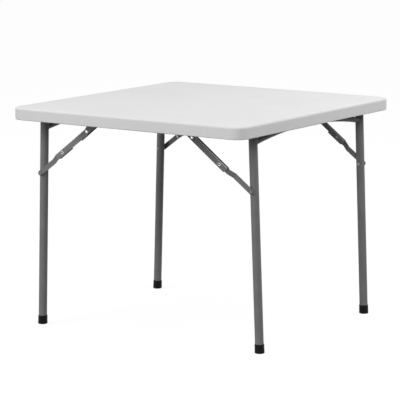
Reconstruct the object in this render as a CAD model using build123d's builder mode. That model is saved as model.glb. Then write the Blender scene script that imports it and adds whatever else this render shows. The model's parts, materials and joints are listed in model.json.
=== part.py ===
from build123d import *
from collections import namedtuple
from math import acos, asin, atan2, cos, hypot, sin, tan
import os

# Folding card table: moulded square top over two folding tube frames.
# Millimetres. Origin on the floor under the centre of the top, +Z up.
# X points to the right frame, Y to the back.

os.makedirs("parts", exist_ok=True)

# Whole table
table_side = 914.0
table_height = 740.0
overrun = 5.0

# Moulded top
corner_radius = 45.0
rim_depth = 40.5
rim_width = 38.0
panel_thickness = 25.0
skin = 3.0
top_edge_radius = 8.0
bottom_edge_radius = 3.0
pocket_corner_radius = 14.0
kiss_count = 11
kiss_edge = 49.0
kiss_mouth_radius = 11.0
kiss_tip_radius = 5.0
kiss_margin = 6.0
boss_radius = 6.0
vent_radius = 2.5
vent_offset = 37.0

# Legs
leg_diameter = 28.0
leg_wall = 1.5
leg_inset = 72.2
leg_side_inset = 91.7
frame_stagger = 79.7
foot_spread = 26.0
leg_headroom = 4.0

# Foot caps
cap_wall = 2.0
cap_height = 30.0
cap_floor = 4.0
cap_edge_radius = 1.5
cap_fit = 0.05

# Arched cross tubes
arch_diameter = 18.0
arch_wall = 1.5
arch_end_drop = 33.5
arch_rise = 29.5

# Hinge tubes and their plugs
hinge_diameter = 19.5
hinge_wall = 1.5
hinge_headroom = 1.25
hinge_overhang = 4.0
plug_flange = 1.5
plug_depth = 10.0
plug_fit = 0.05

# Hinge saddles
running_fit = 0.1
saddle_sheet = 2.0
saddle_width = 25.0
saddle_flange = 17.0
saddle_leg_gap = 6.0
saddle_bend = 2.5

# Fold braces: outer pivots measured from the hinge axis, knee just below the line between them
leg_pivot_drop = 187.0
anchor_reach = 180.9
anchor_drop = 30.5
lower_length = 134.4
knee_sag = 0.6

# Lower links
link_sheet = 3.0
link_width = 17.0
link_leg_gap = 4.2
joggle_step = 10.6
joggle_start = 38.0
joggle_run = 20.0
joggle_bend = 6.0
spacer_diameter = 11.0

# Upper links
channel_width = 11.4
channel_sheet = 1.5
channel_bend = 3.0
stop_gap = 0.3
stop_reach = 31.0
stop_chamfer = 6.0
cheek_drop = 10.2
cheek_notch_end = 86.0
link_end_radius = 10.0
link_end_lift = 0.5

# Anchor brackets
anchor_sheet = 1.2
anchor_side_gap = 0.3
anchor_ear_radius = 9.2
anchor_ear_start = 18.0
anchor_ear_end = 70.0
anchor_base_start = 10.0
anchor_base_end = 74.0
anchor_base_corner = 3.0
anchor_screw_start = 28.0
anchor_screw_end = 60.0

# Rivets
rivet_diameter = 6.0
rivet_head_diameter = 12.0
rivet_head_height = 2.4
rivet_tail_diameter = 9.0
rivet_tail_height = 1.5
anchor_tail_height = 0.4
link_head_height = 1.2
link_rivet_proud = 0.3
leg_rivet_parting = 0.3

# Screws
screw_diameter = 4.2
screw_head_diameter = 8.5
screw_head_height = 2.6
screw_length = 16.0
screw_tip_gap = 2.0
screw_fit = 0.1
screw_recess_span = 4.6
screw_recess_width = 1.1
screw_recess_depth = 1.6

# Heights and places that follow from the sizes above
half_side = table_side / 2
rim_z = table_height - rim_depth
underside_z = table_height - panel_thickness
pocket_half = half_side - rim_width
frame_width = 2 * (half_side - leg_side_inset) - frame_stagger
frame_shift = frame_stagger / 2
leg_radius = leg_diameter / 2
hinge_radius = hinge_diameter / 2
leg_top_x = half_side - leg_inset
splay = atan2(foot_spread, rim_z)
foot_x = leg_top_x + foot_spread
cap_radius = leg_radius + cap_wall
leg_length = (underside_z - leg_headroom - leg_radius * sin(splay) - cap_floor) / cos(splay)

hinge_z = underside_z - hinge_headroom - hinge_radius
hinge_to_leg = leg_radius + hinge_radius
hinge_x = foot_x - (hinge_z + hinge_to_leg * sin(splay)) * tan(splay) - hinge_to_leg * cos(splay)

leg_pivot_z = hinge_z - leg_pivot_drop
leg_pivot_x = foot_x - leg_pivot_z * tan(splay)
anchor_x = hinge_x - anchor_reach
anchor_z = hinge_z - anchor_drop
brace_slope = atan2(anchor_z - leg_pivot_z, leg_pivot_x - anchor_x)
knee_lean = asin(knee_sag / lower_length)
knee_x = leg_pivot_x - lower_length * cos(brace_slope - knee_lean)
knee_z = leg_pivot_z + lower_length * sin(brace_slope - knee_lean)
upper_length = hypot(knee_x - anchor_x, anchor_z - knee_z)

# Distances outward from a leg's axis, along the pivots
link_inner = leg_radius + link_leg_gap
link_outer = link_inner + link_sheet
brace_centre = link_inner + link_sheet / 2 + joggle_step
cheek_inner = brace_centre - channel_width / 2
cheek_outer = brace_centre + channel_width / 2
ear_inner = cheek_inner - anchor_side_gap - anchor_sheet
ear_outer = cheek_outer + anchor_side_gap + anchor_sheet

# The lower link leans past the line of the upper link by this angle at rest
lower_slope = atan2(knee_z - leg_pivot_z, leg_pivot_x - knee_x)
upper_slope = atan2(anchor_z - knee_z, knee_x - anchor_x)
over_centre = upper_slope - lower_slope
web_low = link_width / 2 / cos(over_centre) + stop_reach * tan(over_centre) + stop_gap
web_high = web_low + channel_sheet
end_crest = web_high + link_end_lift

Leg = namedtuple("Leg", "name side out y")
legs = [
    Leg(f"{side_name}_{end_name}", side, out, side * frame_shift + out * frame_width / 2)
    for side_name, side in (("left", -1), ("right", 1))
    for end_name, out in (("front", -1), ("back", 1))
]


def place(leg, x, outward, z):
    """Point at a distance x from the middle of the table and outward from the leg's axis."""
    return Vector(leg.side * x, leg.y + leg.out * outward, z)


def axis_point(leg, z):
    """Point of the leg's splayed axis at a height."""
    return place(leg, foot_x - z * tan(splay), 0, z)


def leg_plane(leg, z):
    """Plane square to the leg's axis, facing up it, at a height."""
    return Plane(axis_point(leg, z), x_dir=(0, 1, 0), z_dir=(-leg.side * sin(splay), 0, cos(splay)))


def side_plane(leg, start, end, low, high):
    """Plane square to the pivots, with x from start to end and y up.

    An extrusion of high - low from it fills that range outward of the leg's axis.
    """
    facing = leg.side * (1 if start[0] > end[0] else -1)
    near = low if facing == leg.out else high
    run = place(leg, *end) - place(leg, *start)
    return Plane(place(leg, start[0], near, start[2]), x_dir=run, z_dir=(0, facing, 0))


def pivot_plane(leg, pivot):
    """Plane through a pivot, with x up and y outward along the pivot."""
    return Plane(place(leg, *pivot), x_dir=(0, 0, 1), z_dir=(-leg.out, 0, 0))


def save(name, builder):
    builder.part.label = name
    export_step(builder.part, f"parts/{name}.step")


knee = (knee_x, 0, knee_z)
anchor = (anchor_x, 0, anchor_z)
leg_pivot = (leg_pivot_x, 0, leg_pivot_z)


# Places of the screws that hold saddles and anchor brackets to the top
saddle_centre = leg_radius + saddle_leg_gap + saddle_width / 2
saddle_ring = hinge_radius + running_fit + saddle_sheet
saddle_screw_reach = saddle_ring + saddle_flange / 2
saddle_screws = [
    place(leg, hinge_x + step * saddle_screw_reach, -saddle_centre, underside_z)
    for leg in legs
    for step in (-1, 1)
]
anchor_screws = [
    place(leg, anchor_x - reach, brace_centre, underside_z)
    for leg in legs
    for reach in (anchor_screw_start, anchor_screw_end)
]
screw_points = saddle_screws + anchor_screws


def pads():
    """Middle and half sizes of each flat pad on the underside that carries a bracket."""
    for leg in legs:
        saddle_half = saddle_ring + saddle_flange
        yield place(leg, hinge_x, -saddle_centre, 0), saddle_half, saddle_width / 2
        base_half = (anchor_base_end - anchor_base_start) / 2
        base_x = anchor_x - anchor_base_start - base_half
        yield place(leg, base_x, brace_centre, 0), base_half, (ear_outer - ear_inner) / 2


def clear_of_pads(point):
    """Whether a kiss-off at this point leaves every bracket its flat pad."""
    room = kiss_mouth_radius + kiss_margin
    return all(
        abs(point.X - pad.X) > half_x + room or abs(point.Y - pad.Y) > half_y + room
        for pad, half_x, half_y in pads()
    )


kiss_pitch = 2 * (pocket_half - kiss_edge) / (kiss_count - 1)
kiss_steps = [(i - (kiss_count - 1) / 2) * kiss_pitch for i in range(kiss_count)]
kiss_points = [Vector(x, y, 0) for x in kiss_steps for y in kiss_steps]
kiss_points = [point for point in kiss_points if clear_of_pads(point)]


# Tabletop: a hollow blow-moulded shell with a rim, a pocket below and kiss-off cones
with BuildPart() as cavity:
    with BuildSketch(Plane.XY.offset(rim_z + skin)):
        RectangleRounded(table_side - 2 * skin, table_side - 2 * skin, corner_radius - skin)
    extrude(amount=rim_depth - 2 * skin)
    fillet(cavity.faces().sort_by(Axis.Z)[-1].edges(), radius=top_edge_radius - skin)
    with BuildSketch(Plane.XY.offset(rim_z)):
        pocket_side = 2 * (pocket_half + skin)
        RectangleRounded(pocket_side, pocket_side, pocket_corner_radius + skin)
    extrude(amount=underside_z + skin - rim_z, mode=Mode.SUBTRACT)
    slope_share = skin / (panel_thickness - skin)
    cone_low = kiss_mouth_radius + skin - slope_share * (kiss_mouth_radius - kiss_tip_radius)
    cone_height = panel_thickness - 2 * skin
    with Locations(*[point + Vector(0, 0, underside_z + skin) for point in kiss_points]):
        Cone(
            cone_low,
            kiss_tip_radius + skin,
            cone_height,
            align=(Align.CENTER, Align.CENTER, Align.MIN),
            mode=Mode.SUBTRACT,
        )
    with Locations(*screw_points):
        Cylinder(
            boss_radius,
            panel_thickness,
            align=(Align.CENTER, Align.CENTER, Align.MIN),
            mode=Mode.SUBTRACT,
        )

with BuildPart() as tabletop:
    with BuildSketch(Plane.XY.offset(rim_z)):
        RectangleRounded(table_side, table_side, corner_radius)
    extrude(amount=rim_depth)
    fillet(tabletop.faces().sort_by(Axis.Z)[-1].edges(), radius=top_edge_radius)
    with BuildSketch(Plane.XY.offset(rim_z)):
        RectangleRounded(2 * pocket_half, 2 * pocket_half, pocket_corner_radius)
    extrude(amount=underside_z - rim_z, mode=Mode.SUBTRACT)
    fillet(tabletop.faces().sort_by(Axis.Z)[0].edges(), radius=bottom_edge_radius)
    add(cavity.part, mode=Mode.SUBTRACT)
    with Locations(*[point + Vector(0, 0, underside_z) for point in kiss_points]):
        Cone(
            kiss_mouth_radius,
            kiss_tip_radius,
            panel_thickness - skin,
            align=(Align.CENTER, Align.CENTER, Align.MIN),
            mode=Mode.SUBTRACT,
        )
    with Locations(*screw_points):
        Cylinder(
            screw_diameter / 2 + screw_fit,
            screw_length + screw_tip_gap,
            align=(Align.CENTER, Align.CENTER, Align.MIN),
            mode=Mode.SUBTRACT,
        )
    with Locations((vent_offset, vent_offset, underside_z), (-vent_offset, -vent_offset, underside_z)):
        Cylinder(vent_radius, 2 * (skin + overrun), mode=Mode.SUBTRACT)
save("tabletop", tabletop)


# Two folding frames
for side_name, side in (("left", -1), ("right", 1)):
    pair = [leg for leg in legs if leg.side == side]
    frame_y = side * frame_shift

    arch_z = rim_z - arch_end_drop
    arch_plane = Plane(
        (side * (foot_x - arch_z * tan(splay)), frame_y, arch_z),
        x_dir=(0, 1, 0),
        z_dir=(cos(splay), 0, side * sin(splay)),
    )
    with BuildPart() as cross_tube:
        with BuildLine(arch_plane) as arch:
            ThreePointArc((-frame_width / 2, 0), (0, arch_rise), (frame_width / 2, 0))
        with BuildSketch(Plane(arch.line @ 0, z_dir=arch.line % 0)):
            Circle(arch_diameter / 2)
            Circle(arch_diameter / 2 - arch_wall, mode=Mode.SUBTRACT)
        sweep(path=arch.line)
        for leg in pair:
            with BuildSketch(leg_plane(leg, cap_floor)):
                Circle(leg_radius)
            extrude(amount=leg_length, mode=Mode.SUBTRACT)
    save(f"{side_name}_cross_tube", cross_tube)

    tube_length = frame_width + 2 * (leg_radius + hinge_overhang)
    tube_start = Plane((side * hinge_x, frame_y - tube_length / 2, hinge_z), z_dir=(0, 1, 0))
    with BuildPart() as hinge_tube:
        with BuildSketch(tube_start):
            Circle(hinge_radius)
            Circle(hinge_radius - hinge_wall, mode=Mode.SUBTRACT)
        extrude(amount=tube_length)
    save(f"{side_name}_hinge_tube", hinge_tube)

    for leg in pair:
        end_plane = Plane(
            place(leg, hinge_x, leg_radius + hinge_overhang, hinge_z),
            z_dir=(0, leg.out, 0),
        )
        with BuildPart() as plug:
            with BuildSketch(end_plane):
                Circle(hinge_radius)
            extrude(amount=plug_flange)
            flange_edges = plug.faces().sort_by(Axis((0, 0, 0), (0, leg.out, 0)))[-1].edges()
            fillet(flange_edges, radius=plug_flange / 2)
            with BuildSketch(end_plane):
                Circle(hinge_radius - hinge_wall - plug_fit)
            extrude(amount=-plug_depth)
        save(f"{leg.name}_hinge_plug", plug)


# Legs and foot caps
for leg in legs:
    with BuildPart() as tube:
        with BuildSketch(leg_plane(leg, cap_floor)):
            Circle(leg_radius)
            Circle(leg_radius - leg_wall, mode=Mode.SUBTRACT)
        extrude(amount=leg_length)
        with BuildSketch(Plane(place(leg, leg_pivot_x, 0, leg_pivot_z), z_dir=(0, 1, 0))):
            Circle(rivet_diameter / 2)
        extrude(amount=leg_diameter, both=True, mode=Mode.SUBTRACT)
    save(f"{leg.name}_leg", tube)

    with BuildPart() as cap:
        with BuildSketch(leg_plane(leg, -cap_radius * sin(splay))):
            Circle(cap_radius)
        extrude(amount=cap_height + cap_radius * sin(splay))
        upward = Axis((0, 0, 0), (-leg.side * sin(splay), 0, cos(splay)))
        fillet(cap.faces().sort_by(upward)[-1].edges(), radius=cap_edge_radius)
        split(bisect_by=Plane.XY, keep=Keep.TOP)
        with BuildSketch(leg_plane(leg, cap_floor)):
            Circle(leg_radius + cap_fit)
        extrude(amount=cap_height, mode=Mode.SUBTRACT)
    save(f"{leg.name}_foot_cap", cap)


# Hinge saddles: straps that hold the hinge tubes up against the top
strap_inner = hinge_radius + running_fit
strap_top = underside_z - hinge_z
for leg in legs:
    start_y = leg.y - leg.out * saddle_centre - saddle_width / 2
    strap_plane = Plane((leg.side * hinge_x, start_y, hinge_z), x_dir=(-1, 0, 0), z_dir=(0, 1, 0))
    with BuildPart() as saddle:
        with BuildSketch(strap_plane):
            Circle(saddle_ring)
            with Locations((0, strap_top / 2)):
                Rectangle(2 * saddle_ring, strap_top)
            with Locations((0, strap_top)):
                Rectangle(
                    2 * saddle_ring + 2 * saddle_flange,
                    saddle_sheet,
                    align=(Align.CENTER, Align.MAX),
                )
            Circle(strap_inner, mode=Mode.SUBTRACT)
            with Locations((0, saddle_ring)):
                Rectangle(2 * strap_inner, 2 * saddle_ring, mode=Mode.SUBTRACT)
        extrude(amount=saddle_width)
        with BuildSketch(Plane.XY.offset(underside_z)):
            with Locations(*[(p.X, p.Y) for p in saddle_screws]):
                Circle(screw_diameter / 2 + screw_fit)
        extrude(amount=-saddle_sheet, mode=Mode.SUBTRACT)
        fillet(saddle.edges().filter_by(Axis.Z).group_by(Axis.X)[0], radius=saddle_bend)
        fillet(saddle.edges().filter_by(Axis.Z).group_by(Axis.X)[-1], radius=saddle_bend)
    save(f"{leg.name}_hinge_saddle", saddle)


# Anchor brackets: yokes that carry the upper ends of the fold braces
ear_length = underside_z - anchor_z


def ear_tangent(reach, turn):
    """Point of the ear's round end where a line from its upper corner at this reach touches it."""
    angle = atan2(ear_length, reach) + turn * acos(anchor_ear_radius / hypot(reach, ear_length))
    return (anchor_ear_radius * cos(angle), anchor_ear_radius * sin(angle))


for leg in legs:
    with BuildPart() as bracket:
        for low in (ear_inner, ear_outer - anchor_sheet):
            with BuildSketch(
                side_plane(leg, anchor, (0, 0, anchor_z), low, low + anchor_sheet)
            ):
                Circle(anchor_ear_radius)
                with BuildLine():
                    Polyline(
                        ear_tangent(anchor_ear_start, 1),
                        (anchor_ear_start, ear_length),
                        (anchor_ear_end, ear_length),
                        ear_tangent(anchor_ear_end, -1),
                        close=True,
                    )
                make_face()
                Circle(rivet_diameter / 2, mode=Mode.SUBTRACT)
            extrude(amount=anchor_sheet)
        with BuildSketch(Plane.XY.offset(underside_z)):
            base_length = anchor_base_end - anchor_base_start
            base_x = anchor_x - anchor_base_start - base_length / 2
            base = place(leg, base_x, brace_centre, 0)
            with Locations((base.X, base.Y)):
                RectangleRounded(base_length, ear_outer - ear_inner, anchor_base_corner)
            with Locations(*[(p.X, p.Y) for p in anchor_screws]):
                Circle(screw_diameter / 2 + screw_fit, mode=Mode.SUBTRACT)
        extrude(amount=-anchor_sheet)
    save(f"{leg.name}_anchor_bracket", bracket)


# Lower links: flat bars with a joggle from the leg's face into the channel
link_run = (knee, leg_pivot)
for leg in legs:
    along = place(leg, *leg_pivot) - place(leg, *knee)
    edge_plane = Plane(
        place(leg, *knee),
        x_dir=along,
        z_dir=along.cross(Vector(0, leg.out, 0)),
    )
    flat_plane = side_plane(leg, *link_run, link_inner, cheek_outer)
    with BuildPart() as lower_link:
        with BuildSketch(edge_plane):
            with BuildLine():
                knee_level = brace_centre
                leg_level = link_inner + link_sheet / 2
                FilletPolyline(
                    (-link_width, knee_level),
                    (joggle_start, knee_level),
                    (joggle_start + joggle_run, leg_level),
                    (lower_length + link_width, leg_level),
                    radius=joggle_bend,
                )
            trace(line_width=link_sheet)
        extrude(amount=link_width, both=True)
        with BuildSketch(flat_plane):
            with Locations((lower_length / 2, 0)):
                SlotCenterToCenter(lower_length, link_width)
            Circle(rivet_diameter / 2 + running_fit, mode=Mode.SUBTRACT)
            with Locations((lower_length, 0)):
                Circle(rivet_diameter / 2, mode=Mode.SUBTRACT)
        extrude(amount=cheek_outer - link_inner, mode=Mode.INTERSECT)
    save(f"{leg.name}_lower_link", lower_link)


# Upper links: channels, open below, whose web stops the knee just past centre
far_end = upper_length + link_end_radius
outer_outline = [
    (-stop_reach, end_crest),
    (-stop_reach, -cheek_drop + stop_chamfer),
    (-stop_reach + stop_chamfer, -cheek_drop),
    (far_end, -cheek_drop),
    (far_end, end_crest),
]
inner_outline = [
    (-stop_reach, end_crest),
    (-stop_reach, -cheek_drop + stop_chamfer),
    (-stop_reach + stop_chamfer, -cheek_drop),
    (joggle_start, -cheek_drop),
    (joggle_start, web_low),
    (cheek_notch_end, web_low),
    (cheek_notch_end, -cheek_drop),
    (far_end, -cheek_drop),
    (far_end, end_crest),
]
for leg in legs:
    with BuildPart() as envelope:
        halves = (
            (outer_outline, brace_centre, cheek_outer),
            (inner_outline, cheek_inner, brace_centre),
        )
        for outline, low, high in halves:
            with BuildSketch(side_plane(leg, knee, anchor, low, high)) as cheek:
                with BuildLine():
                    Polyline(*outline, close=True)
                make_face()
                fillet(cheek.vertices().group_by(Axis.X)[-1], radius=link_end_radius)
            extrude(amount=high - low)

    along = (place(leg, *anchor) - place(leg, *knee)).normalized()
    section_plane = Plane(
        place(leg, knee_x, brace_centre, knee_z) - along * stop_reach,
        x_dir=(0, leg.out, 0),
        z_dir=along,
    )
    upward = 1 if section_plane.y_dir.Z > 0 else -1
    with BuildPart() as upper_link:
        with BuildSketch(section_plane) as section:
            with Locations((0, upward * web_high)):
                section_align = (Align.CENTER, Align.MAX if upward > 0 else Align.MIN)
                Rectangle(channel_width, web_high + cheek_drop, align=section_align)
            rounded = section.vertices().group_by(Axis.Y)[-1 if upward > 0 else 0]
            fillet(rounded, radius=channel_bend)
            with Locations((0, upward * web_low)):
                RectangleRounded(
                    channel_width - 2 * channel_sheet,
                    web_low + cheek_drop + overrun,
                    channel_bend - channel_sheet,
                    align=section_align,
                    mode=Mode.SUBTRACT,
                )
        extrude(amount=stop_reach + far_end)
        add(envelope.part, mode=Mode.INTERSECT)
        with BuildSketch(side_plane(leg, knee, anchor, cheek_inner, cheek_outer)):
            Circle(rivet_diameter / 2)
            with Locations((upper_length, 0)):
                Circle(rivet_diameter / 2 + running_fit)
        extrude(amount=channel_width, mode=Mode.SUBTRACT)
    save(f"{leg.name}_upper_link", upper_link)


# Spacers: rings, coped to the leg, that hold the lower links off the legs
spacer_end = link_inner - link_rivet_proud - leg_rivet_parting
for leg in legs:
    with BuildPart() as spacer:
        with BuildSketch(Plane(place(leg, leg_pivot_x, 0, leg_pivot_z), z_dir=(0, leg.out, 0))):
            Circle(spacer_diameter / 2)
            Circle(rivet_diameter / 2, mode=Mode.SUBTRACT)
        extrude(amount=spacer_end)
        with BuildSketch(leg_plane(leg, cap_floor)):
            Circle(leg_radius)
        extrude(amount=leg_length, mode=Mode.SUBTRACT)
    save(f"{leg.name}_leg_spacer", spacer)


head_radius = rivet_head_diameter / 2
tail_radius = rivet_tail_diameter / 2


def rivet(name, leg, pivot, start, end, tail_height, head_height):
    """Round rivet along a pivot, from start to end outward, with a domed head and a flat tail."""
    plane = pivot_plane(leg, pivot)
    shank = rivet_diameter / 2
    low = [(0, start), (shank, start)]
    if tail_height:
        foot = start - tail_height
        low = [(0, foot), (tail_radius, foot), (tail_radius, start), (shank, start)]
    with BuildPart() as piece:
        with BuildSketch(plane):
            with BuildLine():
                if head_height:
                    crown = end + head_height
                    dome_radius = (head_radius**2 + head_height**2) / 2 / head_height
                    dome_half_angle = asin(head_radius / dome_radius) / 2
                    Polyline((0, crown), *low, (shank, end), (head_radius, end))
                    dome_drop = dome_radius * (1 - cos(dome_half_angle))
                    halfway = (dome_radius * sin(dome_half_angle), crown - dome_drop)
                    ThreePointArc((head_radius, end), halfway, (0, crown))
                else:
                    Polyline(*low, (shank, end), (0, end), close=True)
            make_face()
        revolve(axis=Axis(plane.origin, plane.y_dir))
    save(f"{leg.name}_{name}", piece)


for leg in legs:
    rivet("knee_rivet", leg, knee, cheek_inner, cheek_outer, rivet_tail_height, rivet_head_height)
    rivet("anchor_rivet", leg, anchor, ear_inner, ear_outer, anchor_tail_height, rivet_head_height)
    rivet("leg_rivet", leg, leg_pivot, -leg_radius, spacer_end, rivet_tail_height, 0)
    stub_end = link_inner - link_rivet_proud
    rivet("link_rivet", leg, leg_pivot, stub_end, link_outer, 0, link_head_height)


# One pan-head screw, seat at the origin, driven up
with BuildPart() as screw:
    with BuildSketch(Plane.XY.offset(-screw_head_height)):
        Circle(screw_head_diameter / 2)
    extrude(amount=screw_head_height)
    fillet(screw.faces().sort_by(Axis.Z)[0].edges(), radius=screw_head_height / 2)
    with BuildSketch(Plane.XY.offset(-screw_head_height)):
        Rectangle(screw_recess_span, screw_recess_width)
        Rectangle(screw_recess_width, screw_recess_span)
    extrude(amount=screw_recess_depth, mode=Mode.SUBTRACT)
    with BuildSketch(Plane.XY):
        Circle(screw_diameter / 2)
    extrude(amount=screw_length)


def screws(name, points, sheet):
    """Screws driven up through a sheet into the top."""
    with BuildPart() as group:
        with Locations(*[point - Vector(0, 0, sheet) for point in points]):
            add(screw.part)
    save(name, group)


screws("saddle_screws", saddle_screws, saddle_sheet)
screws("anchor_screws", anchor_screws, anchor_sheet)
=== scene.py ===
import json
import math

import bpy
from mathutils import Matrix, Vector


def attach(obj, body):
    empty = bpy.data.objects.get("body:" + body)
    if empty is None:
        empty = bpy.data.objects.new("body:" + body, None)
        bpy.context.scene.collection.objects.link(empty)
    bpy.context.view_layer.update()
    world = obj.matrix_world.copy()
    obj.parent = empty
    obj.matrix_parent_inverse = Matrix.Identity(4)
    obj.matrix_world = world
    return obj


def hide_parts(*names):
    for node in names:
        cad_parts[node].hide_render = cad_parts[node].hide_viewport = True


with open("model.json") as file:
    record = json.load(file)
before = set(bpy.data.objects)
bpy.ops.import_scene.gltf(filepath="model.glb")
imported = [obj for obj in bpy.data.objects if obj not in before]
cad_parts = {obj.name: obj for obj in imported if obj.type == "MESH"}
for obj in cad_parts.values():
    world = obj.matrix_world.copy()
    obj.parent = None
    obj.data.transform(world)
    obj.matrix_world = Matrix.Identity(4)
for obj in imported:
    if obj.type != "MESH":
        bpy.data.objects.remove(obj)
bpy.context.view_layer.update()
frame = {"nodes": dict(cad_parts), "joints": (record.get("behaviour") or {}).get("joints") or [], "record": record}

SCENE = bpy.context.scene
NODES = frame["nodes"]
MOUNTS = {row["name"]: row["pos_m"] for row in frame["record"]["mounts"]}
JOINTS = {row["name"]: row["pos_m"] for row in frame["joints"]}
MM = 0.001

# Camera at the photograph's viewing angle
CAMERA_AZIMUTH = 35.041
CAMERA_ELEVATION = 10.003
CAMERA_ROLL = -0.264
CAMERA_DISTANCE = 6.2716
CAMERA_TARGET = Vector((0, 0, 0.4102))
CAMERA_LENS = 167.74
CAMERA_SENSOR = 36
CAMERA_SHIFT = (-0.01075, -0.00155)

# Studio
FLOOR_SIDE = 80.0
FLOOR_GREY = 0.15
FLOOR_GLOW = 1.06
FLOOR_GLOW_SHARE = 0.8
WORLD_HORIZON = 0.0
WORLD_ZENITH = 1.0
LIGHT_AIM = Vector((0, 0, 0.4))
LIGHT_SIZE = 1.6
LIGHTS = [
    # name, azimuth, elevation, distance, watts
    ("front", 41, 28, 5.0, 54),
    ("left_low", -25, 12, 5.0, 48),
    ("left_high", -35, 35, 5.0, 38),
    ("right", 125, 35, 2.6, 20),
]

# Tubes, in metres
RIM_Z = 0.6995
FOOT_REACH = 0.026
LEAN = FOOT_REACH / RIM_Z
LEG_RADIUS = 0.014
HINGE_RADIUS = 0.00975
ARCH_RADIUS = 0.009
ARCH_DROP = 0.0335
ARCH_Z = RIM_Z - ARCH_DROP
ARCH_RISE = 0.0295

# Pivot where a lower link meets its leg, in metres
LEG_PIVOT_X = 0.391583
LEG_PIVOT_Z = 0.517

# Faces of a leg and its brace, as distances outward from the leg's axis in millimetres
LEG_FACE = -14.0
SPACER_END = 17.6
STUB_END = 17.9
LINK_INNER = 18.2
LINK_OUTER = 21.2
EAR_INNER = 23.1
CHEEK_INNER = 24.6
CHEEK_OUTER = 36.0
EAR_OUTER = 37.5


class Leg:
    """Place of one leg and its brace, from the frame's mounts and joints."""

    def __init__(self, side_name, side, end_name, out):
        self.name = f"{side_name}_{end_name}"
        self.side = side        # 1 on the right, -1 on the left
        self.out = out          # 1 at the back, -1 at the front
        self.frame_body = f"{side_name}_leg_frame"
        self.upper_body = f"{self.name}_upper_brace"
        self.lower_body = f"{self.name}_lower_brace"
        self.foot_x, self.y, _ = MOUNTS[f"{self.name}_foot"]
        self.hinge_z = JOINTS[f"{side_name}_frame_fold"][2]
        self.anchor = JOINTS[f"{self.name}_upper_fold"]
        self.knee = JOINTS[f"{self.name}_knee_fold"]
        self.pivot = (side * LEG_PIVOT_X, self.y, LEG_PIVOT_Z)
        self.up = Vector((-side * LEAN, 0, 1)).normalized()

    def axis(self, z):
        """Point on the leg's axis at a height."""
        return Vector((self.foot_x - self.side * z * LEAN, self.y, z))

    def beside(self, place, reach):
        """Point at the x and z of a place, at a distance outward from the leg in millimetres."""
        x, _, z = place
        return Vector((x, self.y + self.out * reach * MM, z))


LEGS = [
    Leg(side_name, side, end_name, out)
    for side_name, side in (("left", -1), ("right", 1))
    for end_name, out in (("front", -1), ("back", 1))
]


def from_angles(azimuth, elevation):
    """Unit vector towards a viewer at these angles."""
    around, up = math.radians(azimuth), math.radians(elevation)
    return Vector((math.sin(around) * math.cos(up), -math.cos(around) * math.cos(up), math.sin(up)))


def make_camera():
    back = from_angles(CAMERA_AZIMUTH, CAMERA_ELEVATION)
    data = bpy.data.cameras.new("camera")
    data.lens = CAMERA_LENS
    data.sensor_width = CAMERA_SENSOR
    data.shift_x, data.shift_y = CAMERA_SHIFT
    camera = bpy.data.objects.new("camera", data)
    SCENE.collection.objects.link(camera)
    camera.location = CAMERA_TARGET + back * CAMERA_DISTANCE
    camera.rotation_mode = "QUATERNION"
    roll = Matrix.Rotation(math.radians(CAMERA_ROLL), 3, "Z").to_quaternion()
    camera.rotation_quaternion = (-back).to_track_quat("-Z", "Y") @ roll
    SCENE.camera = camera


def grey(level):
    return (level, level, level, 1)


# Range that most values of a noise fall in
NOISE_RANGE = (0.3, 0.7)
EDGE_SAMPLES = 6
# Cosine of the turn between rounded and flat normal, where an edge starts and where it is full
EDGE_RANGE = (0.995, 0.85)


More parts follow.
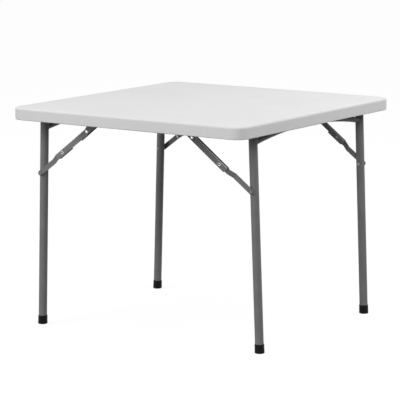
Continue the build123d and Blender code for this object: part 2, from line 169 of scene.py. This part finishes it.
class Graph:
    """A material's or world's node graph, with short calls to add and link its nodes."""

    def __init__(self, tree):
        self.tree = tree
        self.place = self.node("ShaderNodeTexCoord").outputs["Object"]

    def node(self, kind, **settings):
        made = self.tree.nodes.new(kind)
        for name, value in settings.items():
            setattr(made, name, value)
        return made

    def feed(self, target, value):
        if isinstance(value, bpy.types.NodeSocket):
            self.tree.links.new(value, target)
        else:
            target.default_value = value

    def noise(self, scale, detail=2.0, place=None):
        made = self.node("ShaderNodeTexNoise")
        self.feed(made.inputs["Vector"], place or self.place)
        made.inputs["Scale"].default_value = scale
        made.inputs["Detail"].default_value = detail
        return made.outputs["Fac"]

    def stretched(self, turn, scale):
        """Coordinates turned about Z and scaled unevenly, for marks that run one way."""
        made = self.node("ShaderNodeMapping")
        self.feed(made.inputs["Vector"], self.place)
        made.inputs["Rotation"].default_value = (0, 0, turn)
        made.inputs["Scale"].default_value = scale
        return made.outputs["Vector"]

    def span(self, value, low, high, to_low=0.0, to_high=1.0):
        """Value carried over from one range to another, and held at its ends."""
        made = self.node("ShaderNodeMapRange")
        self.feed(made.inputs["Value"], value)
        made.inputs["From Min"].default_value = low
        made.inputs["From Max"].default_value = high
        made.inputs["To Min"].default_value = to_low
        made.inputs["To Max"].default_value = to_high
        return made.outputs["Result"]

    def math(self, operation, *values):
        made = self.node("ShaderNodeMath", operation=operation)
        for socket, value in zip(made.inputs, values):
            self.feed(socket, value)
        return made.outputs["Value"]

    def mix(self, share, first, second):
        made = self.node("ShaderNodeMix", data_type="RGBA")
        self.feed(made.inputs["Factor"], share)
        self.feed(made.inputs["A"], first)
        self.feed(made.inputs["B"], second)
        return made.outputs["Result"]

    def bump(self, height, strength, distance, normal=None):
        made = self.node("ShaderNodeBump")
        made.inputs["Strength"].default_value = strength
        made.inputs["Distance"].default_value = distance
        self.feed(made.inputs["Height"], height)
        if normal is not None:
            self.feed(made.inputs["Normal"], normal)
        return made.outputs["Normal"]

    def soft_edges(self, radius):
        """Normal rounded at sharp edges, and a mask that is 1 on those edges."""
        made = self.node("ShaderNodeBevel", samples=EDGE_SAMPLES)
        made.inputs["Radius"].default_value = radius
        flat = self.node("ShaderNodeNewGeometry").outputs["Normal"]
        agreement = self.node("ShaderNodeVectorMath", operation="DOT_PRODUCT")
        self.feed(agreement.inputs[0], made.outputs["Normal"])
        self.feed(agreement.inputs[1], flat)
        return made.outputs["Normal"], self.span(agreement.outputs["Value"], *EDGE_RANGE)


class Finish(Graph):
    """A material made of one principled shader."""

    def __init__(self, name):
        self.material = bpy.data.materials.new(name)
        self.material.use_nodes = True
        super().__init__(self.material.node_tree)
        self.shader = self.tree.nodes["Principled BSDF"]

    def set(self, **inputs):
        for name, value in inputs.items():
            self.feed(self.shader.inputs[name.replace("_", " ")], value)


TOP_GREYS = (0.748, 0.783)
TOP_ROUGHNESS = (0.6, 0.7)
TOP_SPECKLE = 0.68
TOP_SPECKLE_SHARE = 0.35
TOP_RUB = 0.66
TOP_RUB_SHARE = 0.25
TOP_RUB_POLISH = 0.12
TOP_RUB_TURNS = (0.5, 2.1)
TOP_RUB_STRETCH = (4, 260, 4)


def moulded_top_material():
    """Pale blow-moulded plastic: fine pebble, faint clouds and a few rubbed marks."""
    finish = Finish("moulded_top")
    cloud = finish.noise(scale=5.0, detail=4.0)
    colour = finish.mix(finish.span(cloud, *NOISE_RANGE), *map(grey, TOP_GREYS))
    speckle = finish.span(finish.noise(scale=420.0), low=0.35, high=0.75, to_high=TOP_SPECKLE_SHARE)
    colour = finish.mix(speckle, colour, grey(TOP_SPECKLE))
    rubs = []
    for turn in TOP_RUB_TURNS:
        streaks = finish.noise(scale=1.0, place=finish.stretched(turn, TOP_RUB_STRETCH))
        rubs.append(finish.span(streaks, low=0.70, high=0.76))
    rub = finish.math("MAXIMUM", *rubs)
    colour = finish.mix(finish.math("MULTIPLY", rub, TOP_RUB_SHARE), colour, grey(TOP_RUB))
    polish = finish.math("MULTIPLY", rub, TOP_RUB_POLISH)
    roughness = finish.math("SUBTRACT", finish.span(cloud, *NOISE_RANGE, *TOP_ROUGHNESS), polish)
    pebble = finish.bump(finish.noise(scale=850.0), strength=0.25, distance=0.0004)
    finish.set(
        Base_Color=colour,
        Roughness=roughness,
        Specular_IOR_Level=0.12,
        Normal=finish.bump(finish.noise(scale=60.0), strength=0.12, distance=0.0006, normal=pebble),
    )
    return finish.material


STEEL_GREYS = (0.194, 0.226)
STEEL_ROUGHNESS = (0.38, 0.5)
STEEL_FLECK = 0.27
STEEL_FLECK_SHARE = 0.5
# Pale colour along sharp edges: rubbed coat, and also a painted highlight where edges catch light
STEEL_EDGE_WEAR_AND_HIGHLIGHT = 0.36
STEEL_EDGE_WEAR_AND_HIGHLIGHT_SHARES = (0.25, 0.8)
STEEL_EDGE_RADIUS = 0.0005


def coated_steel_material(name, shade=1.0, folded=False):
    """Dark grey powder coat: orange peel, uneven gloss, and paler along edges, partly as rubbed coat and partly as
    a painted highlight.
    """
    finish = Finish(name)
    normal, edge = finish.soft_edges(STEEL_EDGE_RADIUS)
    cloud = finish.noise(scale=13.0, detail=4.0)
    colour = finish.mix(finish.span(cloud, *NOISE_RANGE), *(grey(tone * shade) for tone in STEEL_GREYS))
    fleck = finish.span(finish.noise(scale=260.0), low=0.68, high=0.74, to_high=STEEL_FLECK_SHARE)
    colour = finish.mix(fleck, colour, grey(STEEL_FLECK * shade))
    # Folded channels get painted shade on the web and a painted highlight on the bends
    if folded:
        colour = channel_shade_and_highlight(finish, colour)
    # Paler along edges, as rubbed coat and as a painted highlight
    patchy = finish.span(finish.noise(scale=90.0, detail=3.0), 0.35, 0.65, *STEEL_EDGE_WEAR_AND_HIGHLIGHT_SHARES)
    colour = finish.mix(finish.math("MULTIPLY", edge, patchy), colour, grey(STEEL_EDGE_WEAR_AND_HIGHLIGHT))
    peel = finish.bump(finish.noise(scale=700.0), strength=0.15, distance=0.0002, normal=normal)
    finish.set(
        Base_Color=colour,
        Roughness=finish.span(cloud, *NOISE_RANGE, *STEEL_ROUGHNESS),
        Specular_IOR_Level=0.1,
        Normal=finish.bump(finish.noise(scale=120.0), strength=0.08, distance=0.0004, normal=peel),
    )
    return finish.material


# Painted shade: dark colour on the channel's upward web, where the tabletop shades it
WEB_SHADE = 0.08
WEB_SHADE_SHARE = 0.75
# Painted highlight: pale colour along the channel's bends, where they catch light
BEND_HIGHLIGHT = 0.70
BEND_HIGHLIGHT_SHARES = (0.6, 1.0)


def channel_shade_and_highlight(finish, colour):
    """Colour of a folded channel, with painted shade on its web, which faces up into the tabletop's shade, and a
    painted highlight along its bends.

    Where a surface point lies is told from its normal, which is up on the web and sideways on the cheeks.
    """
    facing = finish.node("ShaderNodeSeparateXYZ")
    finish.feed(facing.inputs[0], finish.node("ShaderNodeTexCoord").outputs["Normal"])
    sideways = finish.math("ABSOLUTE", facing.outputs["Y"])
    upward = finish.span(facing.outputs["Z"], low=0.2, high=0.5)
    # Painted shade on the web, which faces up under the tabletop
    web = finish.math("MULTIPLY", upward, finish.span(sideways, low=0.45, high=0.2))
    colour = finish.mix(finish.math("MULTIPLY", web, WEB_SHADE_SHARE), colour, grey(WEB_SHADE))
    # Painted highlight along the bends between the web and the cheeks
    off_web = finish.span(sideways, low=0.4, high=0.55)
    off_cheek = finish.span(sideways, low=0.998, high=0.96)
    bend = finish.math("MULTIPLY", off_web, off_cheek)
    patchy = finish.span(finish.noise(scale=40.0, detail=3.0), 0.3, 0.6, *BEND_HIGHLIGHT_SHARES)
    return finish.mix(finish.math("MULTIPLY", bend, patchy), colour, grey(BEND_HIGHLIGHT))


PLASTIC_GREYS = (0.007, 0.014)
PLASTIC_ROUGHNESS = (0.5, 0.7)


def black_plastic_material():
    """Matt black moulded plastic with fine grain and a little dust."""
    finish = Finish("black_plastic")
    dust = finish.span(finish.noise(scale=55.0, detail=5.0), low=0.45, high=0.75)
    finish.set(
        Base_Color=finish.mix(dust, *map(grey, PLASTIC_GREYS)),
        Roughness=finish.span(dust, 0, 1, *PLASTIC_ROUGHNESS),
        Specular_IOR_Level=0.1,
        Normal=finish.bump(finish.noise(scale=1100.0), strength=0.2, distance=0.0002),
    )
    return finish.material


ZINC_GREYS = (0.50, 0.66)
ZINC_ROUGHNESS = (0.24, 0.42)
ZINC_EDGE_RADIUS = 0.0003
ZINC_SCUFF_TURN = 0.4
ZINC_SCUFF_STRETCH = (300, 2500, 300)


def zinc_material(name, shade=1.0):
    """Bright zinc plating, faintly mottled and scuffed."""
    finish = Finish(name)
    normal, _ = finish.soft_edges(ZINC_EDGE_RADIUS)
    mottle = finish.noise(scale=300.0, detail=3.0)
    colour = finish.mix(finish.span(mottle, *NOISE_RANGE), *(grey(tone * shade) for tone in ZINC_GREYS))
    scuff = finish.noise(scale=1.0, place=finish.stretched(ZINC_SCUFF_TURN, ZINC_SCUFF_STRETCH))
    finish.set(
        Base_Color=colour,
        Metallic=1.0,
        Roughness=finish.span(mottle, *NOISE_RANGE, *ZINC_ROUGHNESS),
        Normal=finish.bump(scuff, strength=0.1, distance=0.0001, normal=normal),
    )
    return finish.material


# Material slot and material of each finish
FINISHES = {
    "moulded_top": ("moulded_top", moulded_top_material()),
    "coated_steel": ("coated_steel", coated_steel_material("coated_steel")),
    # Painted light: a copy of the coat 1.1 times lighter, for the channels, which sit in the tabletop's shade
    "lit_folded_steel": ("coated_steel", coated_steel_material("coated_steel_folded_lit", shade=1.1, folded=True)),
    # A copy of the coat at 1.4 times the colour, for the link rivet heads
    "pale_steel": ("coated_steel", coated_steel_material("coated_steel_pale", shade=1.4)),
    # Painted shade: a copy of the coat at 0.35 times the colour, for dark discs in rivet hollows and a dark ring
    # round the link rivet head
    "painted_shade_steel": ("coated_steel", coated_steel_material("coated_steel_painted_shade", shade=0.35)),
    "worn_steel": ("coated_steel", coated_steel_material("coated_steel_worn", shade=3.2)),
    "black_plastic": ("black_plastic", black_plastic_material()),
    "zinc_plated_steel": ("zinc_plated_steel", zinc_material("zinc_plated_steel")),
    # Dimmed zinc for the painted highlight on one link's bend
    "highlight_zinc": ("zinc_plated_steel", zinc_material("zinc_dull", shade=0.45)),
}


def dress_cad_nodes():
    for row in frame["record"]["subparts"]:
        # Upper links take the lighter copy of the coat, which is painted light, with painted shade and highlight
        finish = "lit_folded_steel" if row["node"].endswith("upper_link") else row["material_slot"]
        mesh = NODES[row["node"]].data
        mesh.materials.clear()
        mesh.materials.append(FINISHES[finish][1])


SHARP_ANGLE = 40


def add_piece(name, rings, finish, body, closed=False):
    """Mesh skinned over rings of points, which rides on a body. Unless closed, its ends are filled."""
    count = len(rings[0])
    faces = []
    for i in range(len(rings) if closed else len(rings) - 1):
        low, high = i * count, (i + 1) % len(rings) * count
        faces += [(low + j, low + (j + 1) % count, high + (j + 1) % count, high + j) for j in range(count)]
    if not closed:
        last = (len(rings) - 1) * count
        faces += [tuple(reversed(range(count))), tuple(range(last, last + count))]
    mesh = bpy.data.meshes.new(name)
    mesh.from_pydata([tuple(point) for ring in rings for point in ring], [], faces)
    slot, material = FINISHES[finish]
    mesh.materials.append(material)
    mesh.shade_smooth()
    mesh.set_sharp_from_angle(angle=math.radians(SHARP_ANGLE))
    piece = bpy.data.objects.new(name, mesh)
    SCENE.collection.objects.link(piece)
    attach(piece, body)
    return piece


def turns(count):
    """Angles of equal steps round a circle."""
    return [2 * math.pi * k / count for k in range(count)]


# Foot cap: radius and height of each ring in millimetres, from the middle of the sole to the floor inside
CAP_SOLE = [(0.5, 0.9), (5.4, 0.9), (5.8, 0.0), (8.2, 0.0), (8.6, 0.9), (10.6, 0.9), (11.0, 0.0)]
CAP_HEEL = [(13.4, 0.0), (14.6, 0.4), (15.5, 1.2), (15.9, 2.4), (16.0, 4.0)]
CAP_LIP = [(15.5, 26.5), (15.4, 28.6), (15.0, 29.5), (14.4, 29.8), (14.1, 29.5), (14.1, 4.4), (0.5, 4.4)]
CAP_RADIUS = 16.0
CAP_TAPER = 0.02
CAP_SIDES = 56
# Heights of the grooves round the cap, and the height and depth of the points of one groove
GROOVES = (8.0, 12.5, 17.0, 21.5)
GROOVE = ((-1.1, 0.0), (-0.6, 0.5), (0.6, 0.5), (1.1, 0.0))


def make_foot_caps():
    wall = [
        (CAP_RADIUS - CAP_TAPER * (z + step) - depth, z + step)
        for z in GROOVES
        for step, depth in GROOVE
    ]
    for leg in LEGS:
        rings = []
        for radius, height in CAP_SOLE + CAP_HEEL + wall + CAP_LIP:
            centre = leg.axis(height * MM)
            rings.append([
                centre + Vector((math.cos(turn), math.sin(turn), 0)) * (radius * MM)
                for turn in turns(CAP_SIDES)
            ])
        cap = add_piece(f"{leg.name}_ribbed_cap", rings, "black_plastic", leg.frame_body)
        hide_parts(f"{leg.name}_foot_cap")


BEAD_SIDES = 10
BEAD_STEPS = 91
BEAD_RADIUS = 0.0017
BEAD_WAVE = 0.12
BEAD_WAVE_STEPS = 7
BEAD_LIFT = 0.0003


def make_bead(name, path, centre, body):
    """Weld bead along a closed path, with the ripples that the torch leaves."""
    rings = []
    for i, point in enumerate(path):
        along = (path[(i + 1) % len(path)] - path[i - 1]).normalized()
        away = point - centre
        away = (away - along * away.dot(along)).normalized()
        across = along.cross(away)
        size = BEAD_RADIUS * (1 + BEAD_WAVE * math.sin(2 * math.pi * i / BEAD_WAVE_STEPS))
        rings.append([
            point + (away * math.cos(turn) + across * math.sin(turn)) * size
            for turn in turns(BEAD_SIDES)
        ])
    add_piece(name, rings, "coated_steel", body, closed=True)


def make_cross_weld(leg, end_slope):
    """Weld round the end of the cross tube, where it is coped to the leg."""
    centre = leg.axis(ARCH_Z)
    along = Vector((0, -leg.out * math.cos(end_slope), 0)) + leg.up * math.sin(end_slope)
    rise = (leg.up - along * leg.up.dot(along)).normalized()
    across = along.cross(rise)
    flat_along = along - leg.up * along.dot(leg.up)
    path = []
    for turn in turns(BEAD_STEPS):
        ring = (rise * math.cos(turn) + across * math.sin(turn)) * (ARCH_RADIUS + BEAD_LIFT)
        # Distance along the cross tube at which this side of it meets the leg
        flat = ring - leg.up * ring.dot(leg.up)
        a, b = flat_along.length_squared, flat.dot(flat_along)
        c = flat.length_squared - (LEG_RADIUS + BEAD_LIFT) ** 2
        path.append(centre + ring + along * ((math.sqrt(b * b - a * c) - b) / a))
    make_bead(f"{leg.name}_cross_weld", path, centre + along * LEG_RADIUS, leg.frame_body)


# Half the length and half the height of the weld between leg and hinge tube
HINGE_WELD_REACH = 0.0065
HINGE_WELD_RISE = 0.0052


def make_hinge_weld(leg):
    """Weld round the spot where the hinge tube lies against the leg."""
    outward = Vector((leg.side, 0, LEAN)).normalized()
    contact = leg.axis(leg.hinge_z) - outward * LEG_RADIUS
    path = []
    for turn in turns(BEAD_STEPS):
        over, rise = HINGE_WELD_REACH * math.cos(turn), HINGE_WELD_RISE * math.sin(turn)
        # Halfway between the two tubes, which curve away from each other
        shift = (over**2 / LEG_RADIUS - rise**2 / HINGE_RADIUS) / 4
        path.append(contact + Vector((0, over, 0)) + leg.up * rise + outward * shift)
    make_bead(f"{leg.name}_hinge_weld", path, contact, leg.frame_body)


def make_welds():
    front, back = LEGS[:2]
    end_slope = 2 * math.atan(2 * ARCH_RISE / (back.y - front.y))
    for leg in LEGS:
        make_cross_weld(leg, end_slope)
        make_hinge_weld(leg)


# Rivets: radius and distance outward of each ring in millimetres
FLAT_START = [(0.5, 0.0), (3.0, 0.0)]
FLAT_END = [(3.0, 0.0), (0.5, 0.0)]
RIVET_TAIL = [
    (0.5, -1.1), (2.0, -1.1), (2.6, -1.5), (3.7, -1.5),
    (4.3, -1.1), (4.5, -0.5), (4.4, 0.0), (3.0, 0.0),
]
FLAT_TAIL = [(0.5, -0.4), (3.9, -0.4), (4.4, -0.2), (4.4, 0.0), (3.0, 0.0)]
ROLLED_HEAD = [
    (3.0, 0.0), (5.7, 0.0), (5.9, 0.5), (5.6, 1.3), (4.9, 2.1), (4.1, 2.4),
    (3.4, 2.2), (3.0, 1.6), (2.8, 0.6), (2.6, -0.6), (0.5, -0.8),
]
DOMED_HEAD = [
    (3.0, 0.0), (5.8, 0.0), (6.0, 0.2), (5.6, 0.8),
    (4.8, 1.4), (3.6, 1.95), (2.2, 2.3), (0.5, 2.4),
]
LOW_HEAD = [
    (3.0, 0.0), (5.8, 0.0), (6.0, 0.3), (5.8, 0.8), (5.2, 1.15), (4.4, 1.2),
    (3.6, 1.0), (3.1, 0.4), (0.5, 0.3),
]
# Dark discs in the hollows of the knee rivet head and the leg rivet tail: painted shade in the recesses
HEAD_HOLLOW_SHADE = [(0.5, -0.7), (2.7, -0.7), (2.5, 0.0), (1.6, 0.2), (0.5, 0.3)]
TAIL_HOLLOW_SHADE = [(0.5, -1.3), (1.8, -1.3), (2.0, -0.6), (0.5, -0.6)]
# Dark ring under the link rivet head: painted contact shadow on the link
SHADOW_RING = [(6.1, 0.0), (7.9, 0.0), (7.8, 0.3), (6.1, 0.3)]
KNEE_HEAD_START = 0.9
KNEE_TAIL_END = 1.2
TURNING_SIDES = 40


def moved(profile, step):
    return [(radius, reach + step) for radius, reach in profile]


def turned(leg, name, place, start, profile, finish, body, replaced=None, closed=False):
    """Piece turned about a pivot, with its profile starting at a distance outward from the leg."""
    rings = []
    for radius, reach in moved(profile, start):
        centre = leg.beside(place, reach)
        rings.append([
            centre + Vector((math.cos(turn), 0, leg.out * math.sin(turn))) * (radius * MM)
            for turn in turns(TURNING_SIDES)
        ])
    piece = add_piece(f"{leg.name}_{name}", rings, finish, body, closed)
    if replaced:
        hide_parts(f"{leg.name}_{replaced}")


def make_knee_rivet(leg):
    place, body, node = leg.knee, leg.upper_body, "knee_rivet"
    head = moved(FLAT_START, KNEE_HEAD_START) + moved(ROLLED_HEAD, CHEEK_OUTER - CHEEK_INNER)
    turned(leg, "rolled_knee_rivet", place, CHEEK_INNER, head, "zinc_plated_steel", body, node)
    tail = RIVET_TAIL + moved(FLAT_END, KNEE_TAIL_END)
    turned(leg, "knee_rivet_tail", place, CHEEK_INNER, tail, "worn_steel", body, node)
    # Painted shade in the hollow of the head
    turned(leg, "knee_rivet_hollow_shade", place, CHEEK_OUTER, HEAD_HOLLOW_SHADE, "painted_shade_steel", body)


def make_leg_rivet(leg):
    """Tail and shank of the rivet at the leg, which stay with the leg."""
    place, body = leg.pivot, leg.frame_body
    shank = RIVET_TAIL + moved(FLAT_END, SPACER_END - LEG_FACE)
    turned(leg, "turned_leg_rivet", place, LEG_FACE, shank, "worn_steel", body, "leg_rivet")
    # Painted shade in the hollow of the tail
    turned(leg, "leg_rivet_hollow_shade", place, LEG_FACE, TAIL_HOLLOW_SHADE, "painted_shade_steel", body)


def make_anchor_rivet(leg):
    place, body, node = leg.anchor, "tabletop", "anchor_rivet"
    profile = FLAT_TAIL + moved(DOMED_HEAD, EAR_OUTER - EAR_INNER)
    turned(leg, "domed_anchor_rivet", place, EAR_INNER, profile, "zinc_plated_steel", body, node)


def make_link_rivet(leg):
    """Head of the rivet at the leg, which goes with the lower link, and a dark ring of painted shadow round that
    head.
    """
    place, body = leg.pivot, leg.lower_body
    head = FLAT_START + moved(LOW_HEAD, LINK_OUTER - STUB_END)
    turned(leg, "low_link_rivet", place, STUB_END, head, "pale_steel", body, "link_rivet")
    # Painted contact shadow round the head
    turned(leg, "link_rivet_shadow_ring", place, LINK_OUTER, SHADOW_RING, "painted_shade_steel", body, closed=True)


# Painted highlight over the inner bend of one lower link, in millimetres
HIGHLIGHT_LEG = "left_back"
# Points along the link's inner face: distance from the knee, and distance outward from the leg
HIGHLIGHT_PATH = [
    (61.2, LINK_INNER), (59.5, LINK_INNER), (58.6, 18.26), (57.7, 18.42),
    (56.8, 18.7), (56.0, 19.07), (55.0, 19.59),
]
HIGHLIGHT_LIFT = 0.12
HIGHLIGHT_DEPTH = 0.2
HIGHLIGHT_HALF_WIDTH = 7.6
HIGHLIGHT_STEPS = 12
HIGHLIGHT_LEAST_LENGTH = 0.08


def make_bend_highlight():
    leg = next(leg for leg in LEGS if leg.name == HIGHLIGHT_LEG)
    knee, pivot = (leg.beside(place, 0) for place in (leg.knee, leg.pivot))
    along = (pivot - knee).normalized()
    across = along.cross(Vector((0, 1, 0)))
    middle = sum(step for step, _ in HIGHLIGHT_PATH) / len(HIGHLIGHT_PATH)
    rings = []
    for k in range(HIGHLIGHT_STEPS + 1):
        over = math.cos(math.pi * k / HIGHLIGHT_STEPS)
        length = max(math.sqrt(1 - over**2), HIGHLIGHT_LEAST_LENGTH)
        ring = []
        for lift, path in ((-HIGHLIGHT_LIFT * length, HIGHLIGHT_PATH), (HIGHLIGHT_DEPTH, HIGHLIGHT_PATH[::-1])):
            for step, reach in path:
                spot = knee + along * ((middle + (step - middle) * length) * MM)
                spot += across * (over * HIGHLIGHT_HALF_WIDTH * MM)
                ring.append(leg.beside(spot, reach + lift))
        rings.append(ring)
    # Painted highlight: a thin bright zinc sheet on one link's bend, where its slope catches light
    add_piece(f"{leg.name}_rubbed_bend", rings, "highlight_zinc", leg.lower_body)


def seen_as_background(graph):
    """Two masks: 1 where a glossy or transmission ray looks, and 1 where the camera looks."""
    path = graph.node("ShaderNodeLightPath")
    mirrored = graph.math("MAXIMUM", path.outputs["Is Glossy Ray"], path.outputs["Is Transmission Ray"])
    return mirrored, path.outputs["Is Camera Ray"]


def make_floor():
    """Pale floor that shows as white, and keeps a faint shadow of the table."""
    bpy.ops.mesh.primitive_plane_add(size=FLOOR_SIDE)
    floor = bpy.context.object
    floor.name = "floor"
    finish = Finish("floor")
    mirrored, camera = seen_as_background(finish)
    finish.set(
        Base_Color=finish.mix(camera, grey(FLOOR_GREY), grey(1.0)),
        Roughness=1.0,
        Specular_IOR_Level=0,
    )
    glow = finish.node("ShaderNodeEmission")
    finish.feed(glow.inputs["Strength"], finish.span(camera, 0, 1, to_low=1.0, to_high=FLOOR_GLOW))
    blend = finish.node("ShaderNodeMixShader")
    share = finish.math("MAXIMUM", mirrored, finish.math("MULTIPLY", camera, FLOOR_GLOW_SHARE))
    finish.feed(blend.inputs[0], share)
    finish.feed(blend.inputs[1], finish.shader.outputs[0])
    finish.feed(blend.inputs[2], glow.outputs[0])
    finish.feed(finish.tree.nodes["Material Output"].inputs["Surface"], blend.outputs[0])
    floor.data.materials.append(finish.material)


def make_world():
    """White light from above that fades towards the horizon, and plain white where it is seen."""
    world = bpy.data.worlds.new("world")
    SCENE.world = world
    world.use_nodes = True
    graph = Graph(world.node_tree)
    mirrored, camera = seen_as_background(graph)
    background = graph.tree.nodes["Background"]
    background.inputs["Color"].default_value = grey(1.0)
    direction = graph.node("ShaderNodeSeparateXYZ")
    graph.feed(direction.inputs[0], graph.node("ShaderNodeTexCoord").outputs["Generated"])
    dome = graph.span(direction.outputs["Z"], 0, 1, to_low=WORLD_HORIZON, to_high=WORLD_ZENITH)
    blend = graph.node("ShaderNodeMix", data_type="FLOAT")
    graph.feed(blend.inputs[0], graph.math("MAXIMUM", mirrored, camera))
    graph.feed(blend.inputs[2], dome)
    graph.feed(blend.inputs[3], 1.0)
    graph.feed(background.inputs["Strength"], blend.outputs[0])


def make_lights():
    for name, azimuth, elevation, distance, watts in LIGHTS:
        data = bpy.data.lights.new(name, "AREA")
        data.size = LIGHT_SIZE
        data.energy = watts
        light = bpy.data.objects.new(name, data)
        SCENE.collection.objects.link(light)
        away = from_angles(azimuth, elevation)
        light.location = LIGHT_AIM + away * distance
        light.rotation_mode = "QUATERNION"
        light.rotation_quaternion = (-away).to_track_quat("-Z", "Y")


make_camera()
dress_cad_nodes()
make_foot_caps()
make_welds()
for leg in LEGS:
    make_knee_rivet(leg)
    make_leg_rivet(leg)
    make_anchor_rivet(leg)
    make_link_rivet(leg)
make_bend_highlight()
make_floor()
make_world()
make_lights()
SCENE.view_settings.view_transform = "Standard"
